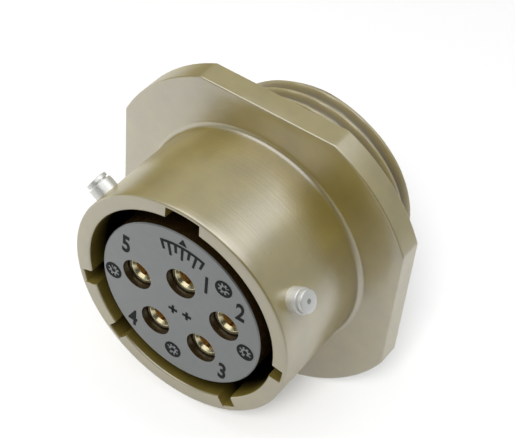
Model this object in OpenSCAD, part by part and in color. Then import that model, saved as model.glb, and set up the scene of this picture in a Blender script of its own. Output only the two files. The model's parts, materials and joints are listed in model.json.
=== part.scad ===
// Circular connector receptacle with a three-pin bayonet coupling and five socket contacts.
// All lengths are in millimetres. The connector is sized outward from its insert, and depths
// run back from the front rim. It lies as it comes to rest on a table: on the lower front edge
// of its flange and on the bayonet pin underneath.

/* [Insert] */
// Diameter of the insert's front barrel
insert_d = 16.5; // [15:0.1:19]
// How far the insert's face lies behind the rim
insert_recess = 0.25; // [0.1:0.05:1]
// Bevel round the insert's face
insert_bevel = 0.1; // [0.05:0.05:0.4]
// Radial play of the insert pieces in the shell
insert_fit = 0.05; // [0.03:0.01:0.1]
// Thickness of the flange that seats the front insert
insert_flange_t = 2; // [1.6:0.1:3]
// Thickness of the rear insert
rear_insert_t = 2.5; // [1.5:0.1:3.5]

/* [Contacts] */
// Height of the top contact above the axis
contact_top_y = 2.65; // [2.2:0.05:3.2]
// Place of the right contact, mirrored on the left
contact_side = [4.56, 0.63]; // [0:0.01:5]
// Place of the lower right contact, mirrored on the left
contact_low = [2.45, -3.73]; // [-4:0.01:4]
// Diameter of the contact holes in the insert
contact_hole_d = 3; // [2.9:0.05:3.2]
// How far the contacts' fronts lie behind the insert's face
contact_recess = 0.7; // [0.3:0.05:2]
// Bore that takes the mating pin
pin_bore_d = 1.6; // [1.2:0.05:1.8]
// Depth of that bore
pin_bore_depth = 6.2; // [5:0.1:8]
// Outside diameter of the hood over the spring fingers
hood_d = 2.8; // [2.6:0.05:2.85]
// Wall of the hood
hood_wall = 0.15; // [0.1:0.01:0.2]
// Length of the hood
hood_len = 6; // [5:0.1:7]
// Thickness of the hood's front lip
hood_lip_t = 0.3; // [0.2:0.05:0.5]
// Radial play of the mating pin in that lip
lip_play = 0.05; // [0.02:0.01:0.1]
// How much wider the lip's entry cone is at its front
lip_flare = 0.2; // [0.05:0.05:0.3]
// Radial play of the spring fingers in the hood
finger_fit = 0.03; // [0.02:0.01:0.05]
// Width of the slots between the spring fingers
finger_slot = 0.25; // [0.15:0.05:0.4]
// Length of the slots between the spring fingers
finger_len = 4.2; // [3:0.1:4.6]
// Diameter of the collar that holds the contact in the insert
collar_d = 3.6; // [3.4:0.05:3.9]
// Length of that collar
collar_len = 1.2; // [0.8:0.1:1.5]
// Diameter of the contact's rear end
tail_d = 2.5; // [2.3:0.05:2.6]
// Length of the contact behind its collar
tail_len = 4.8; // [4:0.1:5.5]
// Diameter of the solder cup in the rear end
cup_d = 1.8; // [1.4:0.05:1.9]
// Depth of the solder cup
cup_depth = 3; // [2:0.1:3.5]
// Radial play of the contacts in the rear insert and at the collar
contact_fit = 0.05; // [0.03:0.01:0.08]

/* [Coupling barrel] */
// Gap round the insert that takes the mating shell
plug_gap = 1.35; // [1:0.05:2]
// Wall of the barrel between the keyways
barrel_wall = 1.5; // [1.4:0.05:2.2]
// Length of the barrel in front of the flange
barrel_len = 10.85; // [10:0.05:13]
// Depth of the ring-shaped cavity round the insert
cavity_depth = 9.2; // [8:0.1:9.8]
// Thickness of the web that carries the insert
web_t = 2; // [1.4:0.1:2.6]
// Bevel of the rim, outside and inside
rim_bevel = 0.2; // [0.1:0.05:0.35]

/* [Keyways] */
// Width of the master keyway
master_key_w = 3.3; // [2.6:0.1:4]
// Width of the four minor keyways
minor_key_w = 1.45; // [1:0.05:2]
// Clockwise angles of the minor keyways from the master keyway
minor_key_angles = [96, 146, 219.5, 253]; // [90:0.5:270]
// Wall left outside the keyways
key_floor_wall = 0.45; // [0.4:0.05:0.8]
// Length of the keyways
key_len = 7.5; // [5:0.1:8]

/* [Bayonet pins] */
// Diameter of a pin
pin_d = 2.25; // [1.8:0.05:2.6]
// How far a pin stands out of the barrel
pin_height = 1.5; // [1.2:0.05:1.9]
// Depth of the pins behind the rim
pin_depth = 2.45; // [2:0.05:4]
// Depth of the hole that a pin is pressed into
pin_seat = 1.1; // [0.6:0.05:1.2]
// Diameter of the stepped tip of a pin
pin_tip_d = 2; // [1.1:0.05:2]
// Length of that tip
pin_tip_len = 0.5; // [0.3:0.05:0.8]
// Bevel at the shoulder and the tip of a pin
pin_bevel = 0.1; // [0.05:0.01:0.12]
// Diameter of the dimple in the end of a pin
pin_dimple_d = 0.5; // [0.3:0.05:0.7]
// Angle from the master keyway to the two upper pins
pin_angle = 60; // [50:1:70]

/* [Flange] */
// Height of the flange's flats above the barrel
flange_rise = 3.4; // [2.4:0.1:5]
// Height of the flange's turned corners above its flats
corner_rise = 1.45; // [0.6:0.05:3]
// Thickness of the flange
flange_t = 2.4; // [1.5:0.05:3]
// Bevel along the flange's edges
flange_bevel = 0.15; // [0.1:0.05:0.5]
// Radius of the fillet between barrel and flange
root_fillet = 0.5; // [0.3:0.1:1.5]

/* [Rear sleeve] */
// Step inside the shell that seats the insert's flange
seat_step = 0.6; // [0.4:0.05:0.9]
// Wall of the rear sleeve over the thread's crests
sleeve_wall = 1.42; // [1.3:0.02:2]
// Length of the plain neck behind the flange
neck_len = 1.4; // [0.8:0.1:2]
// Depth of the neck under the thread's crests
neck_depth = 0.7; // [0.3:0.05:0.8]
// Length of the threaded end
thread_len = 6.6; // [5.5:0.1:10]
// Bevel at the start of the thread
thread_bevel = 0.6; // [0.3:0.05:0.7]

/* [Retaining ring and grommet] */
// Thickness of the retaining ring
ring_t = 0.8; // [0.5:0.05:1]
// Depth of the ring's groove in the shell
ring_groove = 0.35; // [0.2:0.05:0.5]
// Play of the ring in its groove
ring_fit = 0.04; // [0.02:0.01:0.06]
// Radial width of the ring
ring_w = 1.4; // [1:0.1:1.8]
// Width of the gap in the ring
ring_gap = 2.4; // [1:0.1:4]
// How far the grommet lies inside the shell's rear end
grommet_recess = 0.4; // [0.1:0.05:0.8]
// Bevel round the grommet's rear face
grommet_bevel = 0.3; // [0.1:0.05:0.6]
// Bore that seals round a wire
wire_bore_d = 1.7; // [1.2:0.05:2]
// Length of that bore
wire_bore_len = 2; // [1:0.1:2.2]
// Bevel at the mouth of that bore
wire_bevel = 0.3; // [0.1:0.05:0.4]
// Diameter of the raised collar round a wire hole
wire_collar_d = 3.6; // [3.4:0.1:4]
// Height of that collar
wire_collar_h = 0.3; // [0.1:0.05:0.4]

/* [Hidden] */
$fn = 96;
contact_count = 5;

shell_color = "#6b6046";
pin_color = "#c9c7c2";
insert_color = "#4c4f54";
rear_insert_color = "#3a3c40";
contact_color = "#d8a53a";
hood_color = "#e0b551";
ring_color = "#a9a9a6";
grommet_color = "#7d4a34";

// Cutters run this far past the faces that they open.
overcut = 1;

insert_r = insert_d / 2;
web_r = insert_r + insert_fit;
sleeve_bore_r = web_r + seat_step;
seat_r = sleeve_bore_r - insert_fit;
thread_r = sleeve_bore_r + sleeve_wall;
neck_r = thread_r - neck_depth;
cavity_r = insert_r + plug_gap;
barrel_r = cavity_r + barrel_wall;
key_floor_r = barrel_r - key_floor_wall;
flange_half = barrel_r + flange_rise;
corner_r = flange_half + corner_rise;
pin_reach = barrel_r + pin_height;

flange_back = barrel_len + flange_t;
thread_start = flange_back + neck_len;
shell_len = thread_start + thread_len;
seat_depth = cavity_depth + web_t;
joint_depth = seat_depth + insert_flange_t;
ring_depth = joint_depth + rear_insert_t;
grommet_depth = ring_depth + ring_t;
grommet_back = shell_len - grommet_recess;
contact_front = insert_recess + contact_recess;
hood_back = contact_front + hood_len;
collar_front = joint_depth - collar_len;
contact_back = joint_depth + tail_len;

finger_r = hood_d / 2 - hood_wall - finger_fit;
finger_front = contact_front + hood_lip_t + finger_fit;
ring_outer_r = sleeve_bore_r + ring_groove - ring_fit;
ring_inner_r = ring_outer_r - ring_w;
wire_hole_r = tail_d / 2 + contact_fit;

contact_places = [
    [0, contact_top_y],
    contact_side,
    contact_low,
    [-contact_low.x, contact_low.y],
    [-contact_side.x, contact_side.y]
];

// The front leans down until the flat end of the lower pin's tip meets the table.
pin_foot_depth = pin_depth - pin_tip_d / 2 + pin_bevel;
flange_foot_depth = barrel_len + flange_bevel;
nose_down = atan((flange_half - pin_reach) / (flange_foot_depth - pin_foot_depth));

module lying() {
    rotate([90 + nose_down, 0, 0]) children();
}

// Points [radius, depth] turned about the connector's axis
module turned(points) {
    rotate_extrude() polygon([for (p = points) [p[0], -p[1]]]);
}

// A solid disc between two depths
module disc(r, front, back) {
    translate([0, 0, -back]) cylinder(r = r, h = back - front);
}

module at_contact(i) {
    translate([contact_places[i].x, contact_places[i].y, 0]) children();
}

module at_contacts() {
    for (i = [0 : contact_count - 1]) at_contact(i) children();
}

// Radially outward at a clockwise angle from the master keyway
module at_pin(angle) {
    rotate([0, 0, -angle]) translate([0, 0, -pin_depth]) rotate([-90, 0, 0]) children();
}

function fillet_points(r, depth, radius, steps = 8) = [
    for (k = [0 : steps])
        [r + radius * (1 - cos(90 * k / steps)), depth - radius * (1 - sin(90 * k / steps))]
];

// A bar with bevelled edges across the flange, square to one pair of flats
module flange_bar() {
    rotate([90, 0, 0])
        linear_extrude(height = 2 * corner_r + overcut, center = true)
            polygon([
                [flange_half - flange_bevel, -barrel_len],
                [flange_half, -barrel_len - flange_bevel],
                [flange_half, -flange_back + flange_bevel],
                [flange_half - flange_bevel, -flange_back],
                [-flange_half + flange_bevel, -flange_back],
                [-flange_half, -flange_back + flange_bevel],
                [-flange_half, -barrel_len - flange_bevel],
                [-flange_half + flange_bevel, -barrel_len]
            ]);
}

module flange() {
    intersection() {
        flange_bar();
        rotate([0, 0, 90]) flange_bar();
        turned([
            [0, barrel_len],
            [corner_r - flange_bevel, barrel_len],
            [corner_r, barrel_len + flange_bevel],
            [corner_r, flange_back - flange_bevel],
            [corner_r - flange_bevel, flange_back],
            [0, flange_back]
        ]);
    }
}

// Barrel, root fillet, neck and rear sleeve, before anything is bored out of them
module shell_blank() {
    turned(concat(
        [
            [0, 0],
            [barrel_r - rim_bevel, 0],
            [barrel_r, rim_bevel]
        ],
        fillet_points(barrel_r, barrel_len, root_fillet),
        [
            [barrel_r + root_fillet, flange_back],
            [neck_r, flange_back],
            [neck_r, thread_start],
            [thread_r, thread_start + neck_depth],
            [thread_r, shell_len - thread_bevel],
            [thread_r - thread_bevel, shell_len],
            [0, shell_len]
        ]
    ));
}

module shell_bore() {
    turned([
        [0, -overcut],
        [cavity_r + rim_bevel, -overcut],
        [cavity_r + rim_bevel, 0],
        [cavity_r, rim_bevel],
        [cavity_r, cavity_depth],
        [web_r, cavity_depth],
        [web_r, seat_depth],
        [sleeve_bore_r, seat_depth],
        [sleeve_bore_r, ring_depth],
        [sleeve_bore_r + ring_groove, ring_depth],
        [sleeve_bore_r + ring_groove, grommet_depth],
        [sleeve_bore_r, grommet_depth],
        [sleeve_bore_r, shell_len + overcut],
        [0, shell_len + overcut]
    ]);
}

// Parallel-sided slots in the rim, all closed outside by one round floor
module keyways() {
    intersection() {
        disc(key_floor_r, -overcut, key_len);
        union() {
            keyway(0, master_key_w);
            for (angle = minor_key_angles) keyway(angle, minor_key_w);
        }
    }
}

module keyway(angle, width) {
    rotate([0, 0, -angle])
        translate([-width / 2, insert_r, -key_len])
            cube([width, barrel_r - insert_r, key_len + overcut]);
}

module shell() {
    color(shell_color) lying() difference() {
        union() {
            shell_blank();
            flange();
        }
        shell_bore();
        keyways();
        for (angle = [pin_angle, -pin_angle, 180])
            at_pin(angle) translate([0, 0, barrel_r - pin_seat]) cylinder(d = pin_d, h = pin_seat + overcut);
    }
}

// Pressed into the barrel, with a shoulder and a narrower tip
module bayonet_pin(angle) {
    shoulder = pin_reach - pin_tip_len;
    color(pin_color) lying() at_pin(angle) rotate_extrude() polygon([
        [0, barrel_r - pin_seat],
        [pin_d / 2, barrel_r - pin_seat],
        [pin_d / 2, shoulder - pin_bevel],
        [pin_d / 2 - pin_bevel, shoulder],
        [pin_tip_d / 2, shoulder],
        [pin_tip_d / 2, pin_reach - pin_bevel],
        [pin_tip_d / 2 - pin_bevel, pin_reach],
        [pin_dimple_d / 2, pin_reach],
        [0, pin_reach - pin_dimple_d / 4]
    ]);
}

module front_insert() {
    color(insert_color) lying() difference() {
        turned([
            [0, insert_recess],
            [insert_r - insert_bevel, insert_recess],
            [insert_r, insert_recess + insert_bevel],
            [insert_r, seat_depth],
            [seat_r, seat_depth],
            [seat_r, joint_depth],
            [0, joint_depth]
        ]);
        at_contacts() {
            disc(contact_hole_d / 2, -overcut, joint_depth + overcut);
            disc(collar_d / 2 + contact_fit, collar_front, joint_depth + overcut);
        }
    }
}

module rear_insert() {
    color(rear_insert_color) lying() difference() {
        disc(seat_r, joint_depth, ring_depth);
        at_contacts() disc(wire_hole_r, joint_depth - overcut, ring_depth + overcut);
    }
}

// Slotted spring fingers in front, a collar that the two inserts trap, and a solder cup
module socket_contact(i) {
    color(contact_color) lying() at_contact(i) difference() {
        turned([
            [0, finger_front],
            [finger_r, finger_front],
            [finger_r, hood_back],
            [hood_d / 2, hood_back],
            [hood_d / 2, collar_front],
            [collar_d / 2, collar_front],
            [collar_d / 2, joint_depth],
            [tail_d / 2, joint_depth],
            [tail_d / 2, contact_back],
            [0, contact_back]
        ]);
        disc(pin_bore_d / 2, contact_front - overcut, contact_front + pin_bore_depth);
        disc(cup_d / 2, contact_back - cup_depth, contact_back + overcut);
        for (turn = [0, 90])
            rotate([0, 0, turn])
                translate([-hood_d, -finger_slot / 2, -finger_front - finger_len])
                    cube([2 * hood_d, finger_slot, finger_len + overcut]);
    }
}

// Closed-entry sleeve whose cone guides the mating pin
module contact_hood(i) {
    entry_r = pin_bore_d / 2 + lip_play;
    color(hood_color) lying() at_contact(i) turned([
        [entry_r + lip_flare, contact_front],
        [hood_d / 2, contact_front],
        [hood_d / 2, hood_back],
        [hood_d / 2 - hood_wall, hood_back],
        [hood_d / 2 - hood_wall, contact_front + hood_lip_t],
        [entry_r, contact_front + hood_lip_t]
    ]);
}

module retaining_ring() {
    color(ring_color) lying() difference() {
        turned([
            [ring_inner_r, ring_depth],
            [ring_outer_r, ring_depth],
            [ring_outer_r, grommet_depth - ring_fit],
            [ring_inner_r, grommet_depth - ring_fit]
        ]);
        translate([-ring_gap / 2, 0, -grommet_depth - overcut])
            cube([ring_gap, ring_outer_r + overcut, ring_t + 2 * overcut]);
    }
}

// One wire hole: room for the contact's tail, then a bore that seals round the wire
module wire_hole() {
    bore_r = wire_bore_d / 2;
    mouth = grommet_back + wire_collar_h;
    bore_back = mouth - wire_bevel;
    turned([
        [0, ring_depth - overcut],
        [wire_hole_r, ring_depth - overcut],
        [wire_hole_r, contact_back + contact_fit],
        [bore_r, bore_back - wire_bore_len],
        [bore_r, bore_back],
        [bore_r + wire_bevel, mouth],
        [bore_r + wire_bevel, mouth + overcut],
        [0, mouth + overcut]
    ]);
}

module wire_grommet() {
    color(grommet_color) lying() difference() {
        union() {
            turned([
                [0, ring_depth],
                [ring_inner_r - insert_fit, ring_depth],
                [ring_inner_r - insert_fit, grommet_depth],
                [seat_r, grommet_depth],
                [seat_r, grommet_back - grommet_bevel],
                [seat_r - grommet_bevel, grommet_back],
                [0, grommet_back]
            ]);
            at_contacts() disc(wire_collar_d / 2, grommet_depth, grommet_back + wire_collar_h);
        }
        at_contacts() wire_hole();
    }
}

shell();
bayonet_pin(pin_angle);  // bayonet_pin_right
bayonet_pin(-pin_angle);  // bayonet_pin_left
bayonet_pin(180);  // bayonet_pin_lower
front_insert();
rear_insert();
for (i = [0 : contact_count - 1]) {
    socket_contact(i);
    contact_hood(i);
}
retaining_ring();
wire_grommet();
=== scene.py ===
"""Circular connector receptacle: threaded shell, bayonet pins, marked insert and gilt sockets."""
import json
import math

import bmesh
import bpy
import numpy as np
from mathutils import Matrix, Quaternion, Vector


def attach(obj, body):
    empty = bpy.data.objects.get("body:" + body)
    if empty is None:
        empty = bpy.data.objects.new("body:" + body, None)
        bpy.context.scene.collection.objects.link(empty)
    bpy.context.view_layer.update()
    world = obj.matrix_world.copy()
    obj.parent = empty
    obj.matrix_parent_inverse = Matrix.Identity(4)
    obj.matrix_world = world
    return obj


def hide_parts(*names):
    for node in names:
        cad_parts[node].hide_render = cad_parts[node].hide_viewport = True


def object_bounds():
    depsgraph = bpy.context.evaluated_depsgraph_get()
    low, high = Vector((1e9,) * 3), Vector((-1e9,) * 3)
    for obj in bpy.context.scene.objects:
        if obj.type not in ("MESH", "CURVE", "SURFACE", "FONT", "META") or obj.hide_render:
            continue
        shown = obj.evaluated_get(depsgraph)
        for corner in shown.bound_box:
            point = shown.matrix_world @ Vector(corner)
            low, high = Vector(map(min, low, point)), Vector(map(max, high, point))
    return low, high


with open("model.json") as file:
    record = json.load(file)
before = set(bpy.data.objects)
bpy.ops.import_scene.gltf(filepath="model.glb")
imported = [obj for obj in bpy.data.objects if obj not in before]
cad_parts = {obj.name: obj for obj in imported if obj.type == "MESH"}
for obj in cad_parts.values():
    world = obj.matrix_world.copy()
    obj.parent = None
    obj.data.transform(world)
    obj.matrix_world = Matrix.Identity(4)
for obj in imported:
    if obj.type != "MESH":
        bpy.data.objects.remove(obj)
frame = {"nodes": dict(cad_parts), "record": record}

cad_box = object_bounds()
MM = 0.001
MOUNTS = {mount["name"]: mount for mount in frame["record"]["mounts"]}

# The connector's own axes: x right and y up seen from the front, z out of the rim.
# Lengths are in millimetres, and angles round the axis in degrees clockwise from the master keyway.
X, Y, Z = range(3)
AXIS = Vector(MOUNTS["mating_interface"]["axis"])
RIGHT = Vector((1, 0, 0))
TO_ROW = Matrix((RIGHT, AXIS.cross(RIGHT), AXIS)).transposed().to_4x4() @ Matrix.Scale(MM, 4)
LEAN = math.asin(-AXIS.z)


def extent(node, axis):
    """Lowest and highest place of a CAD node along one of the connector's axes."""
    piece = frame["nodes"][node]
    to_connector = TO_ROW.inverted() @ piece.matrix_world
    places = [(to_connector @ vertex.co)[axis] for vertex in piece.data.vertices]
    return min(places), max(places)


# Radii of the shell, from its axis, and half the flange's width
THREAD_R = MOUNTS["rear_thread"]["dims"]["r_mm"]
THREAD_DEPTH = 0.72
THREAD_ROOT_R = THREAD_R - THREAD_DEPTH
NECK_STEP = 0.7
NECK_R = THREAD_R - NECK_STEP
WEB_R = 8.3
BORE_R = 8.9
CAVITY_R = 9.6
KEY_FLOOR_R = 10.65
BARREL_R = 11.1
CORNER_R = 15.95
FLANGE_HALF = extent("shell", X)[1]

# Depths of the shell, behind the face of its rim
KEY_END = 7.5
CAVITY_END = 9.2
FLANGE_FRONT = 10.85
SEAT = 11.2
FLANGE_BACK = 13.25
THREAD_START = 14.65
SHELL_END = -extent("shell", Z)[0]

# Edges, keyways and thread of the shell
RIM_ROUND = 0.2
FLANGE_ROUND = 0.15
ROOT_FILLET = 0.5
NECK_FILLET = 0.25
KEY_EDGE = 0.05
MASTER_KEY_W = 3.3
MINOR_KEY_W = 1.45
MINOR_KEY_ANGLES = (96, 146, 219.5, 253)
KEYWAYS = [(0, MASTER_KEY_W)] + [(angle, MINOR_KEY_W) for angle in MINOR_KEY_ANGLES]
THREAD_PITCH = 1.27
THREAD_BEVEL = 0.6
CREST_SHARE = 0.14
FLANK_SHARE = 0.62

# Fineness of the meshes
COLUMN_STEP = 1.0
BARREL_STEP = 1.0
THREAD_STEP = THREAD_PITCH / 20
KEY_RINGS = 6
FACE_SHARES = (0.35, 0.7)
ARC_STEPS = 4
FILLET_STEPS = 8
BOW_STEPS = 24
PIN_COLUMNS = 64
HOOD_COLUMNS = 96
SHARP_ANGLE = 35

# Bayonet pins
PIN_ANGLES = {"bayonet_pin_right": 60, "bayonet_pin_left": -60, "bayonet_pin_lower": 180}
PIN_DEPTH = 2.45
PIN_R = 1.125
PIN_TIP_R = 1.0
PIN_TIP_LEN = 0.5
PIN_ROUND = 0.1
PIN_GROOVE_R = 0.8
PIN_GROOVE_W = 0.16
PIN_CENTRE_R = 0.24
PIN_CENTRE_DEPTH = 0.5
PIN_REACH = -extent("bayonet_pin_lower", Y)[0]
PIN_FOOT = -extent("bayonet_pin_lower", Y)[1]

# Sockets and insert
SOCKETS = range(1, 6)
INSERT_FACE = -extent("front_insert", Z)[1]
HOOD_BACK, HOOD_FRONT = (-place for place in extent("contact_hood_1", Z))
HOOD_R = 1.4
HOOD_BORE_R = 1.25
LIP_T = 0.3
LIP_ENTRY_R = 0.85
LIP_MOUTH_R = 1.05
LIP_ROUND = 0.06
LIP_ROUND_START = 214    # square to the entry cone
FACE_LAYER = 0.3
FACING_FRONT = 0.5    # least share of a face's normal along the axis

# Marks on the insert, with places (x, y) on its face
MARK_HEIGHT = 0.03
MARK_LINE = 0.24
DIGIT_SIZE = 2.6
DIGIT_WIDTH = 0.72
DIGIT_WEIGHT = 0.06
DIGIT_PLACES = {"1": (2.56, 4.13), "2": (6.03, 3.25), "3": (4.78, -5.18),
                "4": (-4.9, -5.17), "5": (-5.77, 3.46)}
DIAL_PLACES = [(4.25, 4.96), (6.87, -1.01), (-0.47, -6.16), (-7.1, -0.54)]
DIAL_R = 0.85
DIAL_HUB_R = 0.2
DIAL_HUB_HOLE_R = 0.02
DIAL_TICK_LEN = 0.2
DIAL_TICK_STEP = 45
DIAL_TICK_HALF = 9
DIAL_POINTER_STEP = 80
DIAL_POINTER_HALF = 11
CROSS_PLACES = [(-0.66, -0.99), (0.8, -0.87)]
CROSS_HALF = 0.45
INDEX_R = 6.75
INDEX_HALF = 19
INDEX_TICK_ANGLES = range(-18, 19, 6)
INDEX_TICK_HALF = 1.1
INDEX_SHORT_TICK = 0.8
INDEX_LONG_TICK = 1.3
POINTER_HALF = 0.4
POINTER_FOOT = 0.45
POINTER_TIP = 1.1

# Where the shell's plating is dull on the thread, and where painted shade darkens the thread's grooves and
# the cavity
THREAD_FADE = 0.4
GROOVE_TOP_R = THREAD_R - 0.1
SLEEVE_WALL_R = (THREAD_ROOT_R - 0.2, THREAD_ROOT_R - 0.05)
CAVITY_WALL_R = (KEY_FLOOR_R + 0.25, KEY_FLOOR_R + 0.1)
CAVITY_SHADE_Z = (-0.6, -2.4)
CAVITY_FLOOR_Z = (-SEAT, -CAVITY_END - 0.1)

# Camera, at the photograph's viewing angle
LENS = 97.86
CLIP_START = 0.01
VIEW_TARGET = Vector((2.12, 6.6, 7.12)) * MM
VIEW_DISTANCE = 117.19 * MM
VIEW_AZIMUTH = 26.51
VIEW_ELEVATION = 34.85
VIEW_ROLL = 13.14

# Stage, with lengths in metres and directions in the row's axes. Two tables lie in one place:
# one lights the object and is mirrored in it, and the other is seen.
TABLE_HALF = 3
TABLE_ROUGHNESS = 0.6
LIGHTING_TONE = 0.5
MIRRORED_TONE = 0.92
MIRRORED_GLOW = 0.5
MIRRORED_ACROSS = (0.04, 0.08)
MIRRORED_FORWARD = (-0.018, 0.033)
SEEN_TONE = 0.45
SEEN_GLOW = 0.22
SEEN_ABOVE = 0.005 * MM
VIEWER_SIDE = Vector((0.45, -0.8, 0.4))
LOW_LEFT = Vector((-0.85, 0.3, -0.45))
ROOM_TINT = (0.96, 1, 0.96, 1)
WHITE = (1, 1, 1, 1)


def direction(azimuth, elevation):
    """Unit vector towards a place round the object; azimuth 0 is in front and 90 to the right."""
    a, e = math.radians(azimuth), math.radians(elevation)
    return Vector((math.sin(a) * math.cos(e), -math.cos(a) * math.cos(e), math.sin(e)))


def colour(code, share=1):
    """A linear RGBA colour from a hex code, or a darker one with a share of its light."""
    channels = [int(code[i:i + 2], 16) / 255 for i in (1, 3, 5)]
    linear = [c / 12.92 if c <= 0.04045 else ((c + 0.055) / 1.055) ** 2.4 for c in channels]
    return [share * c for c in linear] + [1]


# Nodes of the materials

NOISE_LOW, NOISE_HIGH = 0.3, 0.7


def new_material(name):
    """A material with its node tree and its shader."""
    material = bpy.data.materials.new(name)
    material.use_nodes = True
    return material, material.node_tree, material.node_tree.nodes["Principled BSDF"]


def add_node(tree, kind, inputs=None, **settings):
    """A node with its settings and, by input name or number, its values or links."""
    made = tree.nodes.new("ShaderNode" + kind)
    for key, value in settings.items():
        setattr(made, key, value)
    for key, value in (inputs or {}).items():
        if isinstance(value, bpy.types.NodeSocket):
            tree.links.new(value, made.inputs[key])
        else:
            made.inputs[key].default_value = value
    return made


def connect(tree, shader, links):
    """Links node outputs to inputs of a shader, by input name."""
    for name, output in links.items():
        tree.links.new(output, shader.inputs[name])


def connector_mm(tree):
    """Coordinates in the connector's own axes, in millimetres."""
    place = add_node(tree, "TexCoord").outputs["Object"]
    turn = (-(math.pi / 2 + LEAN), 0, 0)
    values = {"Vector": place, "Rotation": turn, "Scale": (1 / MM,) * 3}
    return add_node(tree, "Mapping", values).outputs[0]


def radius_and_z(tree, place):
    """Distance from the connector's axis, and place along it."""
    x, y, z = add_node(tree, "SeparateXYZ", {0: place}).outputs
    flat = add_node(tree, "CombineXYZ", {0: x, 1: y}).outputs[0]
    return add_node(tree, "VectorMath", {0: flat}, operation="LENGTH").outputs["Value"], z


def noise(tree, place, scale, detail, distortion=0.0):
    """A cloudy pattern from 0 to 1."""
    values = {"Vector": place, "Scale": scale, "Detail": detail, "Distortion": distortion}
    return add_node(tree, "TexNoise", values).outputs["Fac"]


def fade(tree, value, start, end, low=0.0, high=1.0):
    """A number that goes from low to high as a value goes from start to end."""
    return add_node(tree, "MapRange", {0: value, 1: start, 2: end, 3: low, 4: high}).outputs[0]


def combine(tree, operation, first, *others):
    """Numbers combined in turn by a Math node's operation."""
    for other in others:
        first = add_node(tree, "Math", {0: first, 1: other}, operation=operation).outputs[0]
    return first


def along(tree, place, towards):
    """How far a place lies in a direction."""
    return add_node(tree, "VectorMath", {0: place, 1: towards}, operation="DOT_PRODUCT").outputs["Value"]


def mottled(tree, pattern, dark, light):
    """A colour that a noise pattern blends from two."""
    made = add_node(tree, "ValToRGB", {0: pattern})
    first, last = made.color_ramp.elements
    first.position, first.color = NOISE_LOW, dark
    last.position, last.color = NOISE_HIGH, light
    return made.outputs["Color"]


def overlay(tree, share, under, over):
    """A colour with another one over it by a share."""
    return add_node(tree, "Mix", {0: share, 6: under, 7: over}, data_type="RGBA").outputs[2]


def spread(tree, pattern, low, high):
    """Stretches the middle of a noise pattern over a range of numbers."""
    return fade(tree, pattern, NOISE_LOW, NOISE_HIGH, low, high)


def bump(tree, pattern, depth_mm, strength=1.0, under=None):
    """A relief from a pattern, on top of another relief if one is given."""
    values = {"Height": pattern, "Distance": depth_mm * MM, "Strength": strength}
    if under is not None:
        values["Normal"] = under
    return add_node(tree, "Bump", values).outputs["Normal"]


# Materials

def olive_plating():
    """Satin olive plating on turned metal: lathe lines, a cloudy tone, a dull thread, and painted shade
    that darkens the thread's grooves and the cavity.
    """
    material, tree, shader = new_material("olive_plating")
    place = connector_mm(tree)
    radius, z = radius_and_z(tree, place)
    clouds = noise(tree, place, scale=0.35, detail=4.0)
    grain = noise(tree, place, scale=5.0, detail=3.0)
    on_profile = add_node(tree, "CombineXYZ", {0: radius, 1: z}).outputs[0]
    lines = noise(tree, on_profile, scale=4.0, detail=3.0)

    threaded = fade(tree, z, -THREAD_START + THREAD_FADE, -THREAD_START - THREAD_FADE)
    # Painted shade: the thread's grooves are darkened in the plating's colour.
    deep = fade(tree, radius, GROOVE_TOP_R, THREAD_ROOT_R)
    outside = fade(tree, radius, *SLEEVE_WALL_R)
    groove = combine(tree, "MULTIPLY", threaded, deep, outside)
    # Painted shade: deep in the cavity the plating turns near-black and loses most of its gloss.
    inside = fade(tree, radius, *CAVITY_WALL_R)
    behind = fade(tree, z, *CAVITY_SHADE_Z)
    ahead = fade(tree, z, *CAVITY_FLOOR_Z)
    painted_cavity_shade = combine(tree, "MULTIPLY", inside, behind, ahead)

    tone = mottled(tree, clouds, colour("#9e8932"), colour("#b59f43"))
    # Painted shade: darker brown in the thread's grooves.
    tone = overlay(tree, groove, tone, colour("#635021"))
    # Painted shade: near-black deep in the cavity.
    tone = overlay(tree, painted_cavity_shade, tone, colour("#17120a"))
    satin = spread(tree, grain, low=0.285, high=0.32)
    dull = fade(tree, threaded, start=0.0, end=1.0, low=0.0, high=0.22)
    turned = bump(tree, lines, depth_mm=0.011, strength=0.8)
    connect(tree, shader, {
        "Base Color": tone,
        # Painted shade: less gloss in the cavity.
        "Specular IOR Level": fade(tree, painted_cavity_shade, start=0.0, end=1.0, low=0.5, high=0.04),
        "Roughness": combine(tree, "ADD", satin, dull),
        "Normal": bump(tree, grain, depth_mm=0.006, strength=0.8, under=turned)})
    shader.inputs["IOR"].default_value = 4.0
    return material


def bright_steel(name, tint, roughness):
    """Turned steel with fine scratches."""
    material, tree, shader = new_material(name)
    scratches = noise(tree, connector_mm(tree), scale=22.0, detail=4.0, distortion=0.6)
    connect(tree, shader, {
        "Base Color": mottled(tree, scratches, colour(tint, share=0.92), colour(tint)),
        "Roughness": spread(tree, scratches, low=roughness - 0.06, high=roughness + 0.08),
        "Normal": bump(tree, scratches, depth_mm=0.0008)})
    shader.inputs["Metallic"].default_value = 0.5
    return material


def gold_plating(name, tint, roughness, metallic):
    """Gold over turned brass, a little uneven."""
    material, tree, shader = new_material(name)
    clouds = noise(tree, connector_mm(tree), scale=3.0, detail=4.0)
    connect(tree, shader, {
        "Base Color": mottled(tree, clouds, colour(tint, share=0.8), colour(tint)),
        "Roughness": spread(tree, clouds, low=roughness - 0.05, high=roughness + 0.05),
        "Normal": bump(tree, clouds, depth_mm=0.002)})
    shader.inputs["Metallic"].default_value = metallic
    return material


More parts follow.
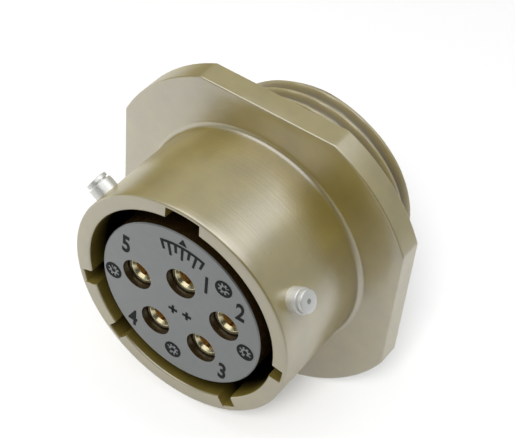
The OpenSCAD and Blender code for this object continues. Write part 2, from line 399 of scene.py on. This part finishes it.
def moulded_plastic(name, dark, light, roughness, ior=1.5):
    """Glass-filled moulding: faint mottling and a fine grain."""
    material, tree, shader = new_material(name)
    place = connector_mm(tree)
    mottling = noise(tree, place, scale=1.2, detail=5.0)
    grain = noise(tree, place, scale=25.0, detail=3.0)
    connect(tree, shader, {
        "Base Color": mottled(tree, mottling, colour(dark), colour(light)),
        "Roughness": spread(tree, grain, low=roughness - 0.05, high=roughness + 0.07),
        "Normal": bump(tree, grain, depth_mm=0.004, strength=0.6)})
    shader.inputs["IOR"].default_value = ior
    return material


def silicone_rubber():
    """Moulded sealing rubber with a dusty bloom."""
    material, tree, shader = new_material("silicone_rubber")
    place = connector_mm(tree)
    bloom = noise(tree, place, scale=0.9, detail=6.0)
    grain = noise(tree, place, scale=12.0, detail=4.0)
    connect(tree, shader, {
        "Base Color": mottled(tree, bloom, colour("#7c4632"), colour("#93583f")),
        "Roughness": spread(tree, grain, low=0.55, high=0.75),
        "Normal": bump(tree, grain, depth_mm=0.01, strength=0.5)})
    return material


# Meshes

def place_piece(piece):
    """Puts a piece in the scene, on the part's one body."""
    bpy.context.scene.collection.objects.link(piece)
    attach(piece, "root")


def add_piece(name, points, faces, material, to_row=TO_ROW):
    """A smooth mesh piece from points in millimetres."""
    shape = bmesh.new()
    corners = [shape.verts.new(to_row @ Vector(point)) for point in points]
    for face in faces:
        shape.faces.new([corners[i] for i in face])
    bmesh.ops.recalc_face_normals(shape, faces=shape.faces)
    mesh = bpy.data.meshes.new(name)
    shape.to_mesh(mesh)
    shape.free()
    mesh.polygons.foreach_set("use_smooth", [True] * len(mesh.polygons))
    mesh.set_sharp_from_angle(angle=math.radians(SHARP_ANGLE))
    mesh.materials.append(material)
    piece = bpy.data.objects.new(name, mesh)
    weighted = piece.modifiers.new("weighted_normals", "WEIGHTED_NORMAL")
    weighted.keep_sharp = True
    place_piece(piece)
    return piece


def strips(rings, closed):
    """Faces between neighbouring rings of point numbers; a repeated point gives triangles."""
    faces = []
    pairs = list(zip(rings, rings[1:])) + ([(rings[-1], rings[0])] if closed else [])
    for one, other in pairs:
        for k in range(len(one)):
            corners = (one[k - 1], one[k], other[k], other[k - 1])
            faces.append(list(dict.fromkeys(corners)))
    return faces


def lathe(profile, columns, closed):
    """Points and faces of a profile of (radius, depth) turned about the z axis."""
    points, rings = [], []
    for r, depth in profile:
        around = columns if r > 0 else 1
        rings.append([len(points) + k % around for k in range(columns)])
        for k in range(around):
            angle = 2 * math.pi * k / columns
            points.append((r * math.sin(angle), r * math.cos(angle), -depth))
    return points, strips(rings, closed)


def arc(r, depth, radius, start, end, steps=ARC_STEPS):
    """(radius, depth) along an arc; 0 degrees points away from the axis and 90 backwards."""
    for k in range(steps + 1):
        angle = math.radians(start + (end - start) * k / steps)
        yield r + radius * math.cos(angle), depth + radius * math.sin(angle)


# Shell

FLANGE_CORNER = math.degrees(math.acos(FLANGE_HALF / CORNER_R))


def edge_angles(r):
    """Angles of the keyways' sides and the flange's corners, in order."""
    r = min(max(r, CAVITY_R), KEY_FLOOR_R)
    marks = [90 * quarter + side * FLANGE_CORNER for quarter in range(4) for side in (-1, 1)]
    for angle, width in KEYWAYS:
        for reach in (width / 2, width / 2 + KEY_EDGE):
            half = math.degrees(math.asin(reach / r))
            marks += [angle - half, angle + half]
    return sorted(mark % 360 for mark in marks)


def gaps(marks):
    """Each mark with the angle to the next one."""
    return [(mark, (after - mark) % 360) for mark, after in zip(marks, marks[1:] + marks[:1])]


COLUMNS = [max(1, round(gap / COLUMN_STEP)) for mark, gap in gaps(edge_angles(CAVITY_R))]


def column_angles(r):
    """Angles of the shell's columns of points at a radius, in radians."""
    angles = []
    for (mark, gap), count in zip(gaps(edge_angles(r)), COLUMNS):
        angles += [mark + gap * k / count for k in range(count)]
    return np.radians(angles)


def in_keyway(angle):
    """Is an angle, in radians, within a keyway at the cavity's wall?"""
    for centre, width in KEYWAYS:
        off = (math.degrees(angle) - centre + 180) % 360 - 180
        if abs(off) < math.degrees(math.asin((width + KEY_EDGE) / 2 / CAVITY_R)):
            return True
    return False


KEYED = np.array([in_keyway(angle) for angle in column_angles(CAVITY_R)])


def ring(radius, depth, keyed=None):
    """One ring of the shell's points. The radius may follow the angle, and differ in the keyways."""
    if callable(radius):
        angles = column_angles(KEY_FLOOR_R)
        r = radius(angles)
    else:
        angles = column_angles(radius)
        r = np.full(len(angles), radius)
    if keyed is not None:
        angles = np.where(KEYED, column_angles(keyed), angles)
        r = np.where(KEYED, keyed, r)
    return np.column_stack([r * np.sin(angles), r * np.cos(angles), np.full(len(r), -depth)])


def round_rings(*arc_values):
    """Round rings along an arc."""
    return [ring(r, depth) for r, depth in arc(*arc_values)]


def outline(angles):
    """Radius of the flange: four flats with turned corners between them."""
    flats = FLANGE_HALF / np.maximum(np.abs(np.sin(angles)), np.abs(np.cos(angles)))
    return np.minimum(flats, CORNER_R)


def inset(amount):
    """A radius that stays inside the flange's outline by an amount."""
    return lambda angles: outline(angles) - amount


def between(inner, share):
    """A radius part of the way from a circle to the flange's rounded edge."""
    return lambda angles: inner + share * (outline(angles) - FLANGE_ROUND - inner)


def thread(depth):
    """Radius of the threaded sleeve at a depth: a right-hand thread that runs in from the neck."""
    run_in = NECK_R + (depth - THREAD_START)
    run_out = THREAD_R - max(0, depth - SHELL_END + THREAD_BEVEL)
    limit = min(run_in, run_out, THREAD_R)

    def radius(angles):
        turn = ((depth - THREAD_START) / THREAD_PITCH - angles / (2 * math.pi)) % 1
        groove = np.clip((np.abs(2 * turn - 1) - CREST_SHARE) / FLANK_SHARE, 0, 1)
        return np.minimum(limit, THREAD_R - THREAD_DEPTH * groove * groove * (3 - 2 * groove))
    return radius


def cavity_rings():
    """The hole in the web behind the cavity, and the cavity up to the rim, with keyways in its wall."""
    rings = [ring(WEB_R, SEAT), ring(WEB_R, CAVITY_END), ring(CAVITY_R, CAVITY_END),
             ring(CAVITY_R, KEY_END + KEY_EDGE)]
    rings += [ring(CAVITY_R, depth, KEY_FLOOR_R)
              for depth in np.linspace(KEY_END, 2 * RIM_ROUND, KEY_RINGS)]
    key = KEY_FLOOR_R - CAVITY_R
    rings += [ring(r, depth, r + key)
              for r, depth in arc(CAVITY_R + RIM_ROUND, RIM_ROUND, RIM_ROUND, 180, 270)]
    return rings


def barrel_rings():
    """The barrel from the rim to the fillet at the flange."""
    fillet_start = FLANGE_FRONT - ROOT_FILLET
    rings = round_rings(BARREL_R - RIM_ROUND, RIM_ROUND, RIM_ROUND, 270, 360)
    rings += [ring(BARREL_R, depth) for depth in np.arange(BARREL_STEP, fillet_start, BARREL_STEP)]
    rings += round_rings(BARREL_R + ROOT_FILLET, fillet_start, ROOT_FILLET, 180, 90, FILLET_STEPS)
    return rings


def flange_rings():
    """The flange's front, edge and back."""
    rings = [ring(between(BARREL_R + ROOT_FILLET, share), FLANGE_FRONT) for share in FACE_SHARES]
    rings += [ring(inset(FLANGE_ROUND - r), depth)
              for r, depth in arc(0, FLANGE_FRONT + FLANGE_ROUND, FLANGE_ROUND, 270, 360)]
    rings += [ring(inset(FLANGE_ROUND - r), depth)
              for r, depth in arc(0, FLANGE_BACK - FLANGE_ROUND, FLANGE_ROUND, 0, 90)]
    rings += [ring(between(NECK_R + NECK_FILLET, share), FLANGE_BACK) for share in reversed(FACE_SHARES)]
    return rings


def sleeve_rings():
    """The neck, the threaded sleeve and its bore."""
    rings = round_rings(NECK_R + NECK_FILLET, FLANGE_BACK + NECK_FILLET, NECK_FILLET, 270, 180)
    rings += [ring(thread(depth), depth) for depth in np.arange(THREAD_START, SHELL_END, THREAD_STEP)]
    rings += [ring(thread(SHELL_END), SHELL_END)]
    rings += round_rings(BORE_R + FLANGE_ROUND, SHELL_END - FLANGE_ROUND, FLANGE_ROUND, 90, 180)
    rings += [ring(BORE_R, SEAT)]
    return rings


def add_shell(material):
    """The shell as one skin of rings, from the cavity round its outside to its bore."""
    rings = cavity_rings() + barrel_rings() + flange_rings() + sleeve_rings()
    columns = len(rings[0])
    numbers = [range(k * columns, (k + 1) * columns) for k in range(len(rings))]
    faces = strips(numbers, closed=True)
    piece = add_piece("plated_shell", np.vstack(rings), faces, material)
    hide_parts("shell")


# Small turned pieces

def add_pin(node, angle, material):
    """A bayonet pin with a ring groove and a drilled centre, turned about a radius of the barrel."""
    shoulder = -PIN_REACH + PIN_TIP_LEN
    groove_end = shoulder - PIN_GROOVE_W
    drilled = -PIN_REACH + PIN_CENTRE_DEPTH
    profile = [(0, -PIN_FOOT), (PIN_R, -PIN_FOOT)]
    profile += arc(PIN_R - PIN_ROUND, shoulder + PIN_ROUND, PIN_ROUND, 0, -90)
    profile += [(PIN_GROOVE_R, shoulder), (PIN_GROOVE_R, groove_end), (PIN_TIP_R, groove_end)]
    profile += arc(PIN_TIP_R - PIN_ROUND, -PIN_REACH + PIN_ROUND, PIN_ROUND, 0, -90)
    profile += [(PIN_CENTRE_R, -PIN_REACH), (PIN_CENTRE_R, drilled), (0, drilled + PIN_CENTRE_R / 2)]
    points, faces = lathe(profile, PIN_COLUMNS, closed=False)
    outward = Matrix.Rotation(math.radians(-angle), 4, "Z") @ Matrix.Rotation(math.radians(-90), 4, "X")
    place = TO_ROW @ Matrix.Translation((0, 0, -PIN_DEPTH)) @ outward
    piece = add_piece(node.replace("bayonet", "steel"), points, faces, material, place)
    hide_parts(node)


def socket_place(number):
    """A socket's place across the axis, from its mount."""
    return (TO_ROW.inverted() @ Vector(MOUNTS[f"socket_{number}"]["pos_m"])).xy


def add_hood(number, material):
    """The closed-entry sleeve of a socket, with an entry cone and a rounded lip."""
    lip_back = HOOD_FRONT + LIP_T
    round_depth = HOOD_FRONT + LIP_ROUND
    profile = [(HOOD_BORE_R, HOOD_BACK), (HOOD_BORE_R, lip_back), (LIP_ENTRY_R, lip_back)]
    profile += arc(LIP_MOUTH_R + LIP_ROUND, round_depth, LIP_ROUND, LIP_ROUND_START, 270)
    profile += arc(HOOD_R - LIP_ROUND, round_depth, LIP_ROUND, 270, 360)
    profile += [(HOOD_R, HOOD_BACK)]
    points, faces = lathe(profile, HOOD_COLUMNS, closed=True)
    x, y = socket_place(number)
    piece = add_piece(f"gilt_hood_{number}", points, faces, material,
                      TO_ROW @ Matrix.Translation((x, y, 0)))
    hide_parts(f"contact_hood_{number}")


# Insert and the marks on it

def add_insert(face_finish, shaded_wall_finish):
    """The insert in the CAD's shape, with a grey face on a body of dark brown painted shade, its brown
    standing for the gold's reflection in the socket holes.
    """
    mesh = frame["nodes"]["front_insert"].data.copy()
    mesh.materials.clear()
    mesh.materials.append(face_finish)
    mesh.materials.append(shaded_wall_finish)
    behind_face = AXIS * -(INSERT_FACE + FACE_LAYER) * MM
    for polygon in mesh.polygons:
        at_front = (polygon.center - behind_face).dot(AXIS) > 0
        # Painted shade: all but the front faces get the dark brown wall finish.
        polygon.material_index = 0 if at_front and polygon.normal.dot(AXIS) > FACING_FRONT else 1
    piece = bpy.data.objects.new("moulded_insert", mesh)
    place_piece(piece)
    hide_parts("front_insert")


def add_digit(text, place, material):
    """A number beside a socket."""
    curve = bpy.data.curves.new("digit_" + text, "FONT")
    curve.body = text
    curve.align_x = "CENTER"
    curve.align_y = "CENTER"
    curve.size = DIGIT_SIZE
    curve.offset = DIGIT_WEIGHT
    curve.extrude = MARK_HEIGHT
    curve.materials.append(material)
    piece = bpy.data.objects.new("digit_" + text, curve)
    narrow = Matrix.Diagonal((DIGIT_WIDTH, 1, 1, 1))
    piece.matrix_world = TO_ROW @ Matrix.Translation((*place, -INSERT_FACE)) @ narrow
    place_piece(piece)


def add_mark(name, outlines, material):
    """Thin flat marks that stand on the insert's face, from outlines of (x, y)."""
    points, faces = [], []
    for outline_points in outlines:
        count = len(outline_points)
        low = [len(points) + k for k in range(count)]
        high = [k + count for k in low]
        for depth in (INSERT_FACE + MARK_HEIGHT, INSERT_FACE - MARK_HEIGHT):
            points += [(x, y, -depth) for x, y in outline_points]
        faces += [low, high] + [(low[k - 1], low[k], high[k], high[k - 1]) for k in range(count)]
    add_piece(name, points, faces, material)


def bow(centre, inner, outer, start, end):
    """Outline of part of a ring between two angles."""
    angles = [math.radians(start + (end - start) * k / BOW_STEPS) for k in range(BOW_STEPS + 1)]
    path = [(outer, angle) for angle in angles] + [(inner, angle) for angle in reversed(angles)]
    return [(centre[0] + r * math.sin(angle), centre[1] + r * math.cos(angle)) for r, angle in path]


def tick(centre, inner, outer, angle, half):
    """Outline of a short line that points away from a centre."""
    return bow(centre, inner, outer, angle - half, angle + half)


def add_dial(number, place, material):
    """A plain round mould mark: a ring, a hub with a pointer and ticks."""
    inner = DIAL_R - MARK_LINE
    outlines = [bow(place, inner, DIAL_R, start, start + 180) for start in (0, 180)]
    outlines += [bow(place, DIAL_HUB_HOLE_R, DIAL_HUB_R, start, start + 180) for start in (0, 180)]
    outlines += [tick(place, inner - DIAL_TICK_LEN, inner, angle, DIAL_TICK_HALF)
                 for angle in range(0, 360, DIAL_TICK_STEP)]
    outlines += [tick(place, DIAL_HUB_R, inner, DIAL_POINTER_STEP * number, DIAL_POINTER_HALF)]
    add_mark(f"mould_dial_{number}", outlines, material)


def add_cross(number, place, material):
    """A plain cross between the sockets."""
    x, y = place
    half = MARK_LINE / 2
    bars = [(CROSS_HALF, half), (half, CROSS_HALF)]
    outlines = [[(x - w, y - h), (x + w, y - h), (x + w, y + h), (x - w, y + h)] for w, h in bars]
    add_mark(f"centre_cross_{number}", outlines, material)


def add_index(material):
    """A plain index under the master keyway: an arc with long and short ticks, and a pointer."""
    centre = (0, 0)
    outlines = [bow(centre, INDEX_R, INDEX_R + MARK_LINE, -INDEX_HALF, INDEX_HALF)]
    for step, angle in enumerate(INDEX_TICK_ANGLES):
        length = INDEX_LONG_TICK if step % 2 else INDEX_SHORT_TICK
        outlines += [tick(centre, INDEX_R - length, INDEX_R, angle, INDEX_TICK_HALF)]
    foot = INDEX_R + POINTER_FOOT
    outlines += [[(-POINTER_HALF, foot), (POINTER_HALF, foot), (0, INDEX_R + POINTER_TIP)]]
    add_mark("keyway_index", outlines, material)


# Stage

def add_plane(name, z):
    """A wide plane of the stage with a pale material, its node tree and its shader."""
    half = TABLE_HALF
    corners = [(-half, -half, z), (half, -half, z), (half, half, z), (-half, half, z)]
    mesh = bpy.data.meshes.new(name)
    mesh.from_pydata(corners, [], [(0, 1, 2, 3)])
    plane = bpy.data.objects.new(name, mesh)
    bpy.context.scene.collection.objects.link(plane)
    material, tree, shader = new_material("pale_" + name)
    shader.inputs["Roughness"].default_value = TABLE_ROUGHNESS
    shader.inputs["Emission Color"].default_value = WHITE
    mesh.materials.append(material)
    return plane, tree, shader


def add_table():
    """The table that lights the object and shows in reflections, with painted shade on its right and
    towards the viewer.
    """
    plane, tree, shader = add_plane("table", cad_box[0].z)
    plane.visible_camera = False
    place = add_node(tree, "TexCoord").outputs["Object"]
    across = add_node(tree, "SeparateXYZ", {0: place}).outputs["X"]
    # Painted shade seen only in reflections: the table dims to the right, as light falling off, and towards
    # the viewer, as the viewer's shadow.
    near = fade(tree, across, *MIRRORED_ACROSS, low=1.0, high=0.5)
    clear = fade(tree, along(tree, place, VIEWER_SIDE), *MIRRORED_FORWARD, low=1.0, high=0.0)
    rays = add_node(tree, "LightPath").outputs
    mirrored = combine(tree, "MAXIMUM", rays["Is Glossy Ray"], rays["Is Transmission Ray"])
    shown = combine(tree, "MULTIPLY", mirrored, combine(tree, "MULTIPLY", near, clear))
    connect(tree, shader, {
        "Base Color": fade(tree, shown, start=0.0, end=1.0, low=LIGHTING_TONE, high=MIRRORED_TONE),
        "Emission Strength": fade(tree, shown, start=0.0, end=1.0, low=0.0, high=MIRRORED_GLOW)})


def add_seen_table():
    """The table as the camera sees it: white, with the object's shadow on it."""
    plane, _, shader = add_plane("seen_table", cad_box[0].z + SEEN_ABOVE)
    shader.inputs["Base Color"].default_value = (SEEN_TONE, SEEN_TONE, SEEN_TONE, 1)
    shader.inputs["Emission Strength"].default_value = SEEN_GLOW
    plane.visible_diffuse = False
    plane.visible_glossy = False
    plane.visible_transmission = False
    plane.visible_shadow = False
    return plane


def add_softbox(name, towards, distance, size, radiance):
    """A square lamp of a given brightness that faces the object."""
    lamp = bpy.data.lights.new(name, "AREA")
    lamp.size = size
    lamp.energy = radiance * math.pi * size * size
    holder = bpy.data.objects.new(name, lamp)
    bpy.context.scene.collection.objects.link(holder)
    holder.location = VIEW_TARGET + Vector(towards).normalized() * distance
    holder.rotation_mode = "QUATERNION"
    holder.rotation_quaternion = (-Vector(towards)).to_track_quat("-Z", "Y")
    return holder


def add_shadow_lamp(plane):
    """A small lamp in front that only lights the seen table, for the object's shadow."""
    lamp = add_softbox("shadow_lamp", towards=(0.235, -0.735, 0.64), distance=1.2, size=0.34, radiance=76.0)
    lit_pieces = bpy.data.collections.new("shadow_receivers")
    lit_pieces.objects.link(plane)
    lamp.light_linking.receiver_collection = lit_pieces


def add_world():
    """A plain room that is dim on the viewer's side and at the lower left."""
    world = bpy.data.worlds.new("studio")
    bpy.context.scene.world = world
    world.use_nodes = True
    tree = world.node_tree
    place = add_node(tree, "TexCoord").outputs["Generated"]
    level = fade(tree, along(tree, place, VIEWER_SIDE), start=0.3, end=0.8, low=0.38, high=0.05)
    dimmed = fade(tree, along(tree, place, LOW_LEFT), start=0.5, end=0.8, low=1.0, high=0.4)
    background = tree.nodes["Background"]
    connect(tree, background, {"Strength": combine(tree, "MULTIPLY", level, dimmed)})
    background.inputs["Color"].default_value = ROOM_TINT


def add_camera():
    """The camera, aimed at the object and rolled as in the photograph."""
    camera = bpy.data.cameras.new("camera")
    camera.lens = LENS
    camera.clip_start = CLIP_START
    holder = bpy.data.objects.new("camera", camera)
    bpy.context.scene.collection.objects.link(holder)
    back = direction(VIEW_AZIMUTH, VIEW_ELEVATION)
    holder.location = VIEW_TARGET + back * VIEW_DISTANCE
    holder.rotation_mode = "QUATERNION"
    roll = Quaternion((0, 0, 1), math.radians(VIEW_ROLL))
    holder.rotation_quaternion = (-back).to_track_quat("-Z", "Y") @ roll
    bpy.context.scene.camera = holder


def paint(node, material):
    """Gives a CAD piece its finish."""
    slots = frame["nodes"][node].data.materials
    slots.clear()
    slots.append(material)


def add_connector():
    """The connector's pieces with their finishes."""
    contact_gold = gold_plating("gold_contact", "#ffcf6c", roughness=0.5, metallic=0.55)
    hood_gold = gold_plating("gold_hood", "#fff3c8", roughness=0.24, metallic=0.92)
    steel = bright_steel("bright_steel", "#fafaf8", roughness=0.32)
    spring_steel = bright_steel("spring_steel", "#a9a8a4", roughness=0.32)
    face_plastic = moulded_plastic("grey_insert", "#424b4c", "#4a5455", roughness=0.38, ior=2.95)
    # Painted shade on the insert's side and hole walls, its brown standing for the gold's reflection.
    shaded_wall_plastic = moulded_plastic("insert_walls", "#33230d", "#402d12", roughness=0.3, ior=1.8)
    rear_plastic = moulded_plastic("dark_insert", "#2f3033", "#38393c", roughness=0.5)
    ink = moulded_plastic("dark_marks", "#0c0d11", "#121418", roughness=0.6, ior=1.35)

    add_shell(olive_plating())
    for node, angle in PIN_ANGLES.items():
        add_pin(node, angle, steel)
    for number in SOCKETS:
        add_hood(number, hood_gold)
        paint(f"socket_contact_{number}", contact_gold)
    for text, place in DIGIT_PLACES.items():
        add_digit(text, place, ink)
    for number, place in enumerate(DIAL_PLACES, 1):
        add_dial(number, place, ink)
    for number, place in enumerate(CROSS_PLACES, 1):
        add_cross(number, place, ink)
    add_index(ink)
    add_insert(face_plastic, shaded_wall_plastic)
    paint("rear_insert", rear_plastic)
    paint("retaining_ring", spring_steel)
    paint("wire_grommet", silicone_rubber())


def add_stage():
    """The table, the lamps, the room and the camera."""
    add_table()
    add_shadow_lamp(add_seen_table())
    add_softbox("key_softbox", towards=(0.33, 0.2, 0.92), distance=0.5, size=0.3, radiance=1.15)
    add_softbox("fill_softbox", towards=(-0.1, -0.42, 0.9), distance=0.6, size=0.8, radiance=1.25)
    add_world()
    add_camera()
    bpy.context.scene.view_settings.view_transform = "Standard"


add_connector()
add_stage()
